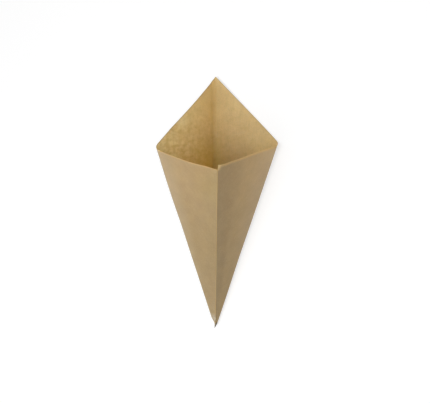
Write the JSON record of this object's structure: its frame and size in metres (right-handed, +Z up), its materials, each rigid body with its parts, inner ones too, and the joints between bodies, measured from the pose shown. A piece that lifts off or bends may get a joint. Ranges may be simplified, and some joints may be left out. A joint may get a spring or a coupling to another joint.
{
  "type": "paper fry cone",
  "caption": "Unprinted brown kraft paper cone for fries, folded from a square sheet, opened, with a glued lap inside its front crease and a tall pointed back.",
  "frame": {"origin": "centre of the bounding box in plan, on the floor that the back right panel lies on", "axes": "+Z up from the floor, +X from the tip towards the mouth along the cone's axis as seen from above, +Y towards the cone's back left panel"},
  "size_m": [0.2514, 0.0912, 0.0778],
  "materials": {
    "kraft_paper": "uncoated brown kraft, matt"
  },
  "bodies": {
    "root": {"fry_cone": "kraft_paper"}
  },
  "joints": []
}
